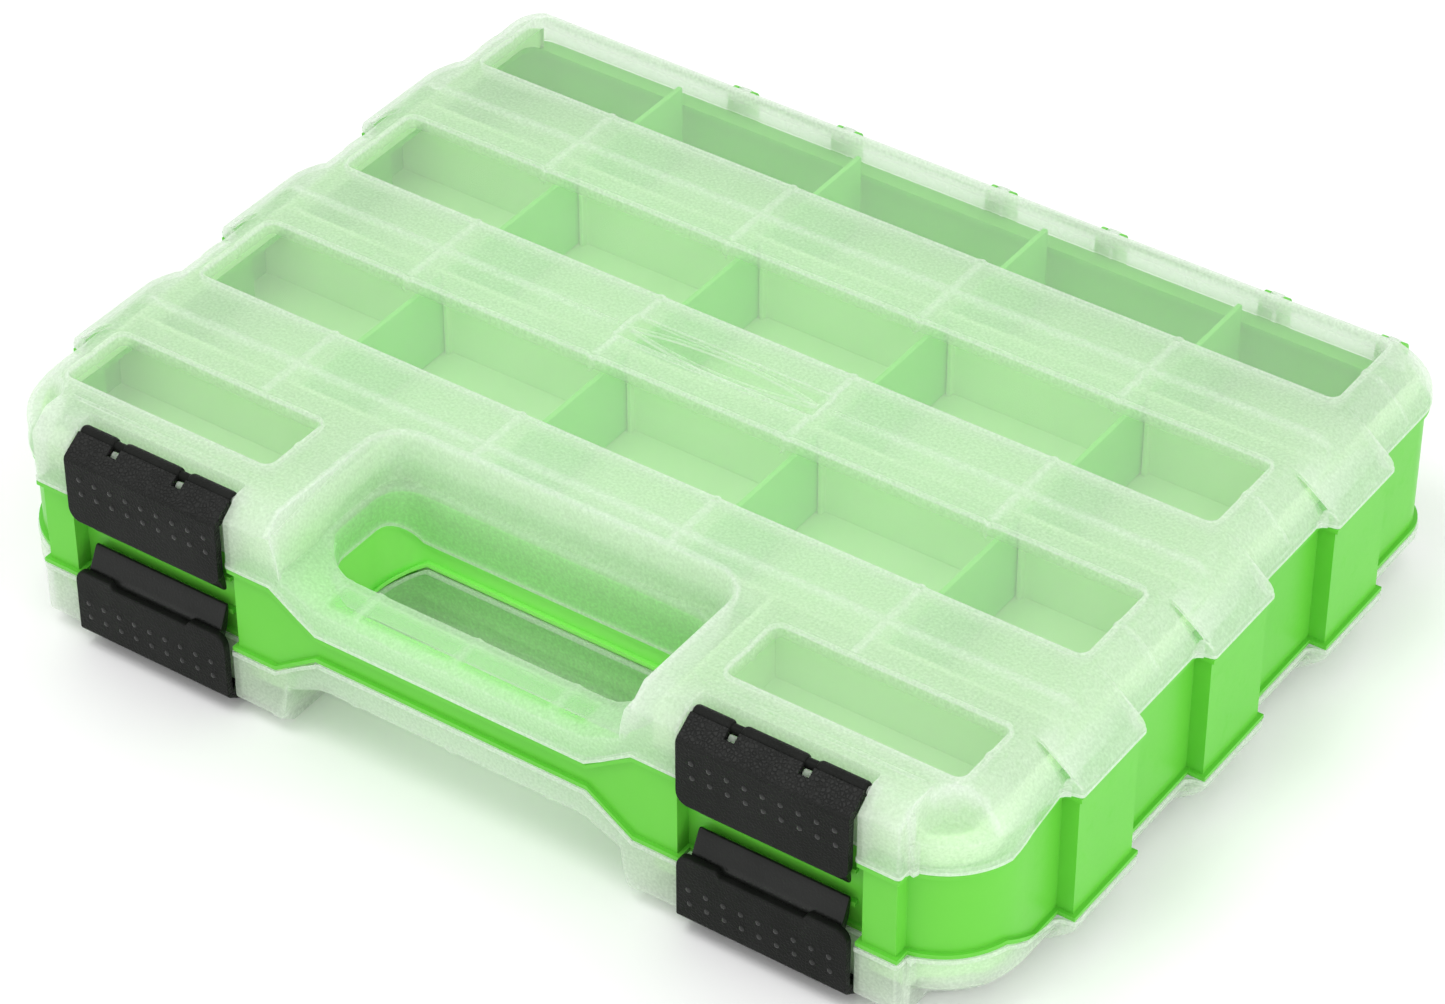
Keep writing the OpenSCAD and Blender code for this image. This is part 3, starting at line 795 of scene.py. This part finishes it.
def addSkirt(bm, ring, hazeLayer, shineThroughLayer):
    top, n = caseSizes["top"], len(ring)
    flat = [Vector((v.co.x, v.co.y)) for v in ring]
    normals = []
    for i in range(n):
        u = (flat[i] - flat[i - 1]).normalized() + (flat[(i + 1) % n] - flat[i]).normalized()
        normals.append(Vector((u.y, -u.x)).normalized())
    inHole = max(abs(v.co.x) for v in ring) < 60
    rows = [ring]
    for kind, out, drop, haze in skirtRows:
        row = []
        for v, normal in zip(ring, normals):
            roof, rim = top - v.co.z, rimDepth(v.co.x, v.co.y)
            depth = roof + drop if kind == "roof" else max(rim + drop, roof + 0.4)
            w = bm.verts.new((v.co.x + normal.x * out, v.co.y + normal.y * out, top - min(depth, rim)))
            # inside the hand hole the collar is milkier and painted green for the tray's light shining
            # through it
            w[hazeLayer] = max(haze, 0.88) if inHole else haze
            w[shineThroughLayer] = 0.85 if inHole and haze < 0.9 else 0.0
            row.append(w)
        rows.append(row)
    for a, b in zip(rows, rows[1:]):
        for i in range(n):
            j = (i + 1) % n
            bm.faces.new((a[j], a[i], b[i], b[j]))


def buildLid():
    points, faces = buildLidSkin()
    bm = bmesh.new()
    hazeLayer, shineThroughLayer = bm.verts.layers.float.new("haze"), bm.verts.layers.float.new("tint")
    made = {}
    for f in faces:
        for i in f:
            if i not in made:
                x, y = points[i].x, points[i].y
                v = bm.verts.new((x, y, caseSizes["top"] - lidDepth(x, y)))
                v[hazeLayer], v[shineThroughLayer] = lidHaze(x, y), lidPaintedShineThrough(x, y)
                made[i] = v
        bm.faces.new([made[i] for i in f])
    bmesh.ops.recalc_face_normals(bm, faces=bm.faces)
    if sum(f.normal.z for f in bm.faces) < 0:
        bmesh.ops.reverse_faces(bm, faces=bm.faces)
    for ring in openLoops(bm):
        addSkirt(bm, ring, hazeLayer, shineThroughLayer)
    bmesh.ops.scale(bm, vec=(mm, mm, mm), verts=bm.verts)
    lid = placed("lidShell", bm)
    solid = lid.modifiers.new("wall", "SOLIDIFY")
    solid.thickness, solid.offset = lidShape["wall"] * mm, -1
    bake(lid)
    dressed(lid, lidMaterial)
    lid.data.shade_smooth()
    lid.data.set_sharp_from_angle(angle=math.radians(50))
    weigh = lid.modifiers.new("even", "WEIGHTED_NORMAL")
    weigh.keep_sharp, weigh.weight = True, 60
    return bake(lid)


def dressed(obj, mat):
    obj.data.materials.clear()
    obj.data.materials.append(mat)
    return obj


lidShell = buildLid()
print("lid shell:", len(lidShell.data.polygons), "faces")


def makeRowTree():  # copies of the object's own mesh in rows of rows
    tree = bpy.data.node_groups.new("rowsOfRows", "GeometryNodeTree")
    new = tree.nodes.new
    face = tree.interface
    face.new_socket("Geometry", in_out="INPUT", socket_type="NodeSocketGeometry")
    for label, kind in (("Groups", "Int"), ("Group Step", "Vector"), ("Count", "Int"), ("Step", "Vector"),
                        ("Start", "Vector"), ("Finish", "Material")):
        face.new_socket(label, in_out="INPUT", socket_type="NodeSocket" + kind)
    face.new_socket("Geometry", in_out="OUTPUT", socket_type="NodeSocketGeometry")
    given, done = new("NodeGroupInput"), new("NodeGroupOutput")
    groups, rows = new("GeometryNodeMeshLine"), new("GeometryNodeMeshLine")
    spread, copies = new("GeometryNodeInstanceOnPoints"), new("GeometryNodeInstanceOnPoints")
    flat, real = new("GeometryNodeRealizeInstances"), new("GeometryNodeRealizeInstances")
    finish = new("GeometryNodeSetMaterial")
    for a, b in ((given.outputs["Groups"], groups.inputs["Count"]),
                 (given.outputs["Group Step"], groups.inputs["Offset"]),
                 (given.outputs["Start"], groups.inputs["Start Location"]),
                 (given.outputs["Count"], rows.inputs["Count"]),
                 (given.outputs["Step"], rows.inputs["Offset"]),
                 (groups.outputs[0], spread.inputs["Points"]), (rows.outputs[0], spread.inputs["Instance"]),
                 (spread.outputs[0], flat.inputs[0]), (flat.outputs[0], copies.inputs["Points"]),
                 (given.outputs["Geometry"], copies.inputs["Instance"]), (copies.outputs[0], real.inputs[0]),
                 (real.outputs[0], finish.inputs["Geometry"]),
                 (given.outputs["Finish"], finish.inputs["Material"]),
                 (finish.outputs[0], done.inputs[0])):
        tree.links.new(a, b)
    return tree


rowTree = makeRowTree()


def inRows(obj, **values):  # lengths in millimetres; the object's own mesh becomes the rows
    mod = obj.modifiers.new("rows", "NODES")
    mod.node_group = rowTree
    for item in rowTree.interface.items_tree:
        key = item.name[:1].lower() + item.name[1:].replace(" ", "")
        if item.in_out == "INPUT" and key in values:
            value = values[key]
            mod[item.identifier] = tuple(c * mm for c in value) if isinstance(value, tuple) else value
    return bake(obj)


def extruded(name, profile, x0, x1, hole=None):  # a (y, z) profile pushed along x
    bm = bmesh.new()
    rings = []
    for x in (x0, x1):
        rings.append([bm.verts.new((x * mm, y * mm, z * mm)) for y, z in profile])
    n = len(profile)
    for i in range(n):
        bm.faces.new((rings[0][i], rings[0][(i + 1) % n], rings[1][(i + 1) % n], rings[1][i]))
    if hole:
        inner = [[bm.verts.new((x * mm, y * mm, z * mm)) for y, z in hole] for x in (x0, x1)]
        for i in range(n):
            j = (i + 1) % n
            bm.faces.new((inner[0][i], inner[1][i], inner[1][j], inner[0][j]))
            for k in (0, 1):
                bm.faces.new((rings[k][i], rings[k][j], inner[k][j], inner[k][i]))
    else:
        bm.faces.new(rings[0])
        bm.faces.new(rings[1])
    bmesh.ops.recalc_face_normals(bm, faces=bm.faces)
    return placed(name, bm)


def softened(obj, width, segments=2, angle=35):  # rounds every edge sharper than the angle
    soft = obj.modifiers.new("soft", "BEVEL")
    soft.width, soft.segments, soft.limit_method = width * mm, segments, "ANGLE"
    soft.angle_limit, soft.use_clamp_overlap = math.radians(angle), True
    soft.harden_normals = False
    obj.data.shade_smooth()
    even = obj.modifiers.new("even", "WEIGHTED_NORMAL")
    even.weight = 60
    return bake(obj)


def painted(obj, name, value):  # one value over the whole mesh
    layer = obj.data.attributes.get(name) or obj.data.attributes.new(name, "FLOAT", "POINT")
    for item in layer.data:
        item.value = value
    return obj


def circle(cy, cz, r):  # 24 points round a line along x
    return arcAround(cy, cz, r, 0, 345, 23)


# hinge hooks of the lid, in three groups of two
hookShape = {
    "half": 1.7, "outer": 3.0, "bore": 1.56, "firstX": -77, "pairStep": 36, "groupStep": 88, "haze": 0.72,
    "arm": [(116.6, 59.3), (119.6, 59.3), (121.0, 60.2), (121.2, 61.3), (120.0, 61.9), (116.6, 62.2)],
}


def makeHooks():
    h, axis = hookShape, caseSizes["hinge"]
    ring = extruded("knuckle", circle(*axis, h["outer"]), -h["half"], h["half"], circle(*axis, h["bore"]))
    arm = extruded("arm", h["arm"], -h["half"] + 0.1, h["half"] - 0.1)
    unit = joined([softened(ring, 0.3), softened(arm, 0.25)], "hookUnit")
    dressed(painted(unit, "haze", h["haze"]), lidMaterial)
    return inRows(unit, groups=3, groupStep=(h["groupStep"], 0, 0), count=2, step=(h["pairStep"], 0, 0),
                  start=(h["firstX"], 0, 0), finish=lidMaterial)


# pin of each latch and the two lugs that show in its slots
pinShape = {"r": 1.15, "half": 26.1, "haze": 0.7}
lugShape = {
    "places": [-12.4, 9.3], "half": 1.15, "slotHalf": 1.55, "haze": 0.66,
    "outline": [(-118.8, 63.6), (-118.8, 65.7), (-118.3, 66.5), (-117.4, 66.9), (-117.1, 66.4),
                (-117.1, 63.6)],
}


def makeLatchSeat(cx):
    made = []
    for place in lugShape["places"]:
        x0, x1 = cx + place - lugShape["half"], cx + place + lugShape["half"]
        lug = softened(extruded("lug", lugShape["outline"], x0, x1), 0.3)
        made.append(dressed(painted(lug, "haze", lugShape["haze"]), lidMaterial))
    rod = circle(caseSizes["latchY"], caseSizes["latchZ"], pinShape["r"])
    pin = softened(extruded("pin", rod, cx - pinShape["half"], cx + pinShape["half"]), 0.15)
    return made + [dressed(painted(pin, "haze", pinShape["haze"]), lidMaterial)]


lidParts = [lidShell, makeHooks()]
for side in (-1, 1):
    lidParts += makeLatchSeat(side * caseSizes["latchX"])
lidTop = joined(lidParts, "upperLid")
lidLow = turnedOver(lidTop, "lowerLid")
seated(lidTop, "upperLid", "lid_top", "lid_clear", "lid_top", "lid_rim_top", "lid_grip_top")
seated(lidLow, "lowerLid", "lid_low", "lid_clear", "lid_low", "lid_rim_low", "lid_grip_low")
print("lids dressed with hooks and lugs")

# snap latch: y and z of its section, the third number of a plate point being its grain, which also paints a
# lighter sheen into the colour of the slope
latchShape = {
    "half": 25.25, "edgeZ": 43.5, "cut": 1.6, "cutHalf": 12.4, "corner": 3.4,
    "barrels": [(-25.25, -13.95), (-10.85, 7.75), (10.85, 25.25)], "barrelR": 2.1, "barrelGrain": 0.15,
    "barrelEnd": [(0.0, 1.5), (0.2, 1.82), (0.6, 2.02)],  # distance from the end, radius
    "sleeves": [(-14.2, -10.6), (7.5, 11.1)], "sleeveR": 1.45,
    "plate": [(-116.9, 67.0, 0.3), (-117.0, 67.95, 0.6), (-117.45, 68.3, 1.0), (-120.3, 66.4, 1.0),
              (-123.15, 64.5, 1.0), (-123.7, 63.95, 0.6), (-124.0, 63.2, 0.15)],
    "lip": [(-124.0, 0.65, 0.1), (-123.85, 0.15, 0.1), (-123.4, 0.0, 0.1), (-122.3, 0.0, 0.0),
            (-121.93, 0.15, 0.0), (-121.8, 0.6, 0.0)],  # z from the free edge
    "inside": [(-121.8, 62.9, 0.0), (-121.5, 62.3, 0.0), (-117.2, 65.2, 0.0)],
    "slotInside": (-119.7, 63.6, 0.0), "slotSink": (-2.3, -1.7),
    "hook": [(-121.85, 48.0), (-121.85, 43.9), (-121.0, 42.5), (-119.95, 40.4), (-119.0, 38.4),
             (-118.5, 37.6), (-118.0, 37.35), (-117.55, 37.5), (-117.4, 38.0), (-117.45, 39.3),
             (-118.3, 44.0), (-120.2, 48.0)],
    "hookHalf": 22.3,
    "bumpStart": (-20.6, 0.0, 58.3), "bumpStep": (5.23, 0, 0), "rowStep": (0.35, 0, -4.5),
    "bumpR": 0.95, "bumpFlat": 0.72, "bumpY": -123.66,
}


def latchEdge(x, cut):  # height of the free edge across the width
    s, ax = latchShape, abs(x)
    z = s["edgeZ"] + cut * smooth(s["cutHalf"] + 1.3, s["cutHalf"] - 0.2, ax)
    c = ax - (s["half"] - s["corner"])
    return z + (s["corner"] - math.sqrt(max(s["corner"] ** 2 - c * c, 0)) if c > 0 else 0)


def latchStations():  # places across the width where the section changes
    s = latchShape
    xs = [-s["half"], s["half"]]
    for i in range(7):
        c = s["half"] - s["corner"] * (1 - math.sin(math.radians(i * 15)))
        xs += [c, -c]
    for i in range(7):
        c = s["cutHalf"] - 0.2 + 1.5 * i / 6
        xs += [c, -c]
    for place in lugShape["places"]:
        h = lugShape["slotHalf"]
        xs += [place - h - 0.05, place - h + 0.03, place + h - 0.03, place + h + 0.05]
    xs += [-20 + 4 * i for i in range(11)]
    out = []
    for x in sorted(xs):
        if not out or x - out[-1] > 0.02:
            out.append(x)
    return out


def latchSection(x, cut):  # (y, z, grain) points round the plate at x
    s, e = latchShape, latchEdge(x, cut)
    inSlot = any(abs(x - place) < lugShape["slotHalf"] for place in lugShape["places"])
    section = list(s["plate"])
    if inSlot:
        section[:3] = [(y + s["slotSink"][0], z + s["slotSink"][1], g) for y, z, g in section[:3]]
    section += [(y, e + dz, g) for y, dz, g in s["lip"]]
    return section + s["inside"][:2] + [s["slotInside"] if inSlot else s["inside"][2]]


def addTube(bm, rows):  # closes rows of (x, y, z, grain) points into a solid tube
    grain = bm.verts.layers.float["grain"]
    rings = []
    for row in rows:
        ring = [bm.verts.new((x * mm, y * mm, z * mm)) for x, y, z, _ in row]
        for v, point in zip(ring, row):
            v[grain] = point[3]
        rings.append(ring)
    n = len(rings[0])
    for a, b in zip(rings, rings[1:]):
        for i in range(n):
            j = (i + 1) % n
            bm.faces.new((a[i], a[j], b[j], b[i]))
    bm.faces.new(rings[0])
    bm.faces.new(rings[-1])


def latchRing(x, r, grain, sides):  # circle round the latch's own hinge line
    ring = arcAround(caseSizes["latchY"], caseSizes["latchZ"], r, 0, 360 - 360 / sides, sides - 1)
    return [(x, y, z, grain) for y, z in ring]


def makeBumps():  # two rows of small domes on the plate
    s, bm = latchShape, bmesh.new()
    bmesh.ops.create_uvsphere(bm, u_segments=14, v_segments=9, radius=s["bumpR"] * mm)
    bmesh.ops.scale(bm, vec=(1, s["bumpFlat"], 1), verts=bm.verts)
    bmesh.ops.translate(bm, vec=(0, s["bumpY"] * mm, 0), verts=bm.verts)
    bumps = placed("bumps", bm)
    bumps.data.shade_smooth()
    inRows(bumps, groups=2, groupStep=s["rowStep"], count=9, step=s["bumpStep"], start=s["bumpStart"],
           finish=bumpMaterial)
    return painted(bumps, "grain", 0.0)


def buildLatch(name, cut):
    s, bm = latchShape, bmesh.new()
    bm.verts.layers.float.new("grain")
    addTube(bm, [[(x, y, z, g) for y, z, g in latchSection(x, cut)] for x in latchStations()])
    for x0, x1 in s["barrels"]:
        ends = [(d, r) for d, r in s["barrelEnd"]] + [(1.2, s["barrelR"])]
        turns = [(x0 + d, r) for d, r in ends] + [((x0 + x1) / 2, s["barrelR"])]
        turns += [(x1 - d, r) for d, r in reversed(ends)]
        addTube(bm, [latchRing(x, r, s["barrelGrain"], 28) for x, r in turns])
    for x0, x1 in s["sleeves"]:
        addTube(bm, [latchRing(x, s["sleeveR"], 0.0, 24) for x in (x0, x1)])
    bmesh.ops.recalc_face_normals(bm, faces=bm.faces)
    body = dressed(softened(placed("latchBody", bm), 0.22, 2, 50), latchMaterial)
    hook = softened(extruded("latchHook", s["hook"], -s["hookHalf"], s["hookHalf"]), 0.5, 3, 60)
    dressed(painted(hook, "grain", 0.05), hookMaterial)
    return joined([body, hook, makeBumps()], name)


for level, cut in (("top", 0.0), ("low", latchShape["cut"])):
    latch = buildLatch("latch_" + level, cut)
    for side, label in ((1, "right"), (-1, "left")):
        piece = latch.copy()
        piece.data = latch.data.copy()
        scene.collection.objects.link(piece)
        piece.data.transform(Matrix.Translation((side * caseSizes["latchX"] * mm, 0, 0)))
        if level == "low":
            upright, label = piece, "left" if side == 1 else "right"
            piece = turnedOver(upright, "turned")
            bpy.data.objects.remove(upright)
        node = "latch_%s_%s" % (level, label)
        seated(piece, "snapLatch_%s_%s" % (level, label), node, "latch_black", node)
    bpy.data.objects.remove(latch)
print("latches made")

# the tray comes from the frame's own nodes, with softened edges
traySet = {
    "shell": ["tray_shell", "tray_side_left", "tray_side_right", "tray_back"],
    "rims": ["tray_rim_", "rim_sides_", "rim_corners_", "rim_back_"],
    "walls": ["row_wall_top_1", "row_wall_top_2", "row_wall_low_1", "row_wall_low_2",
              "front_walls_top", "front_walls_low"],
    "soft": 0.3, "wallSoft": 0.28, "under": 1.9,
    # where nodes of one moulding meet: plane, least |x|, least y
    "shellCuts": [("y", 104.0, 0, -200), ("y", -88.0, 139.9, -200), ("x", 140.0, 0, -88.1)],
    "rimCuts": [("y", -62.2, 140, -200), ("y", 108.4, 143, -200), ("x", 143.6, 0, 108.3)],
    "handHole": (54.5, -109.5, -72.5),  # half width, front and back of the collar that is lit through
}


def copied(name, nodes):  # the frame's nodes as one mesh of our own
    parts = []
    for node in nodes:
        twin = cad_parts[node].copy()
        twin.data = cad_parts[node].data.copy()
        twin.parent = None
        twin.matrix_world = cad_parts[node].matrix_world.copy()
        scene.collection.objects.link(twin)
        parts.append(twin)
    bpy.context.view_layer.update()
    return joined(parts, name)


def onCut(f, cuts):  # True for the inner faces between two nodes of one moulding
    xs, ys = [abs(v.co.x) / mm for v in f.verts], [v.co.y / mm for v in f.verts]
    for axis, place, leastX, leastY in cuts:
        flat = all(abs(v - place) < 0.01 for v in (xs if axis == "x" else ys))
        if flat and min(xs) > leastX and min(ys) > leastY:
            return True
    return False


def cleaned(obj, cuts, under):  # one clean mesh; under keeps its upper edges below the lid
    bm = bmesh.new()
    bm.from_mesh(obj.data)
    bmesh.ops.remove_doubles(bm, verts=bm.verts, dist=2e-6)
    if cuts:
        bmesh.ops.delete(bm, geom=[f for f in bm.faces if onCut(f, cuts)], context="FACES")
        bmesh.ops.remove_doubles(bm, verts=bm.verts, dist=2e-5)
    if under:
        for v in bm.verts:
            x, y = v.co.x / mm, v.co.y / mm
            deepest = max(lidDepth(x + dx, y + dy) for dx in (-1.5, 0, 1.5) for dy in (-1.5, 0, 1.5))
            if v.co.z > 0.05:
                v.co.z = min(v.co.z, (caseSizes["top"] - deepest - traySet["under"]) * mm)
    bmesh.ops.dissolve_limit(bm, angle_limit=math.radians(1.0), verts=bm.verts, edges=bm.edges)
    bmesh.ops.recalc_face_normals(bm, faces=bm.faces)
    bm.to_mesh(obj.data)
    bm.free()
    return obj


def trayShape(name, nodes, soft, mat, cuts=(), under=False):
    return dressed(softened(cleaned(copied(name, nodes), cuts, under), soft), mat)


def litCollar(piece):  # paints the walls of the hand hole
    half, front, back = traySet["handHole"]
    lit = piece.data.attributes.new("lit", "FLOAT", "POINT")
    for v in piece.data.vertices:
        x, y = v.co.x / mm, v.co.y / mm
        lit.data[v.index].value = 1.0 if abs(x) < half and front < y < back else 0.0


shell = trayShape("shell", traySet["shell"], traySet["soft"], trayMaterial, traySet["shellCuts"])
litCollar(shell)
seated(shell, "trayShell", "tray", "tray_green", *traySet["shell"])
# the rims, webs and inner walls take the paler greens with painted light
rimsTop, rimsLow = [[n + level for n in traySet["rims"]] for level in ("top", "low")]
rimUp = trayShape("rims", rimsTop, traySet["soft"], innerMaterial, traySet["rimCuts"], under=True)
rimDown = turnedOver(rimUp, "rimsTurned")
seated(rimUp, "rimWallUpper", "tray", "tray_green", *rimsTop)
seated(rimDown, "rimWallLower", "tray", "tray_green", *rimsLow)
for node in ("tray_web", "tray_web_front"):
    dressed(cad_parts[node], webMaterial)
for node in traySet["walls"]:
    wall = trayShape(node, [node], traySet["wallSoft"], innerMaterial)
    seated(wall, node.replace("_", "-"), "tray", "tray_green", node)
# the dividers take the green with painted light and shade
for level in ("top", "low"):
    for place in [10 * row + k for row in (1, 2, 3) for k in (1, 2, 3, 4)]:
        node = "divider_%s_%d" % (level, place)
        divider = trayShape(node, [node], traySet["soft"], dividerMaterial)
        seated(divider, node.replace("_", "-"), "tray", "divider_green", node)
print("tray dressed")

# floor, light and camera, in metres and watts
stageSet = {
    "floor": (0.98, 0.98, 0.98, 1), "floorHalf": 6.0, "floorRough": 0.85, "worldLight": 0.96,
    "lightAim": (0, 0, 0.03),
    "lights": {"key": ((-0.15, -0.5, 1.3), 0.6, 4.4),  # place, size, power
               "rightFill": ((1.2, -0.2, 0.5), 0.8, 3.0)},
}
floorMesh, h = bpy.data.meshes.new("floor"), stageSet["floorHalf"]
floorMesh.from_pydata([(-h, -h, 0), (h, -h, 0), (h, h, 0), (-h, h, 0)], [], [(0, 1, 2, 3)])
floor = placed("floor", floorMesh)
floor.location.z = -0.0002  # a hair under the box
floorMat, _, floorShader, _ = startMaterial("paleFloor")
floorShader.inputs["Base Color"].default_value = stageSet["floor"]
floorShader.inputs["Roughness"].default_value = stageSet["floorRough"]
dressed(floor, floorMat)
world = bpy.data.worlds.new("softRoom")
scene.world = world
world.use_nodes = True
world.node_tree.nodes["Background"].inputs[0].default_value = (1, 1, 1, 1)
world.node_tree.nodes["Background"].inputs[1].default_value = stageSet["worldLight"]


def areaLight(name, place, size, power):
    data = bpy.data.lights.new(name, "AREA")
    data.shape, data.size, data.energy = "DISK", size, power
    lamp = bpy.data.objects.new(name, data)
    lamp.location = place
    lamp.rotation_euler = (Vector(stageSet["lightAim"]) - Vector(place)).to_track_quat("-Z", "Y").to_euler()
    scene.collection.objects.link(lamp)


for name, settings in stageSet["lights"].items():
    areaLight(name, *settings)
cameraSet = {"azimuth": 34.8, "elevation": 38.5, "distance": 1.2313, "aim": (0.0332, -0.048, 0.07),
             "lens": 120.48, "sensor": 36.0}
a, e = math.radians(cameraSet["azimuth"]), math.radians(cameraSet["elevation"])
back = Vector((math.sin(a) * math.cos(e), -math.cos(a) * math.cos(e), math.sin(e)))
camData = bpy.data.cameras.new("view")
camData.lens, camData.sensor_width = cameraSet["lens"], cameraSet["sensor"]
cam = bpy.data.objects.new("view", camData)
cam.location = Vector(cameraSet["aim"]) + back * cameraSet["distance"]
cam.rotation_euler = (-back).to_track_quat("-Z", "Y").to_euler()
scene.collection.objects.link(cam)
scene.camera = cam
scene.view_settings.view_transform = "Standard"
print("stage set")
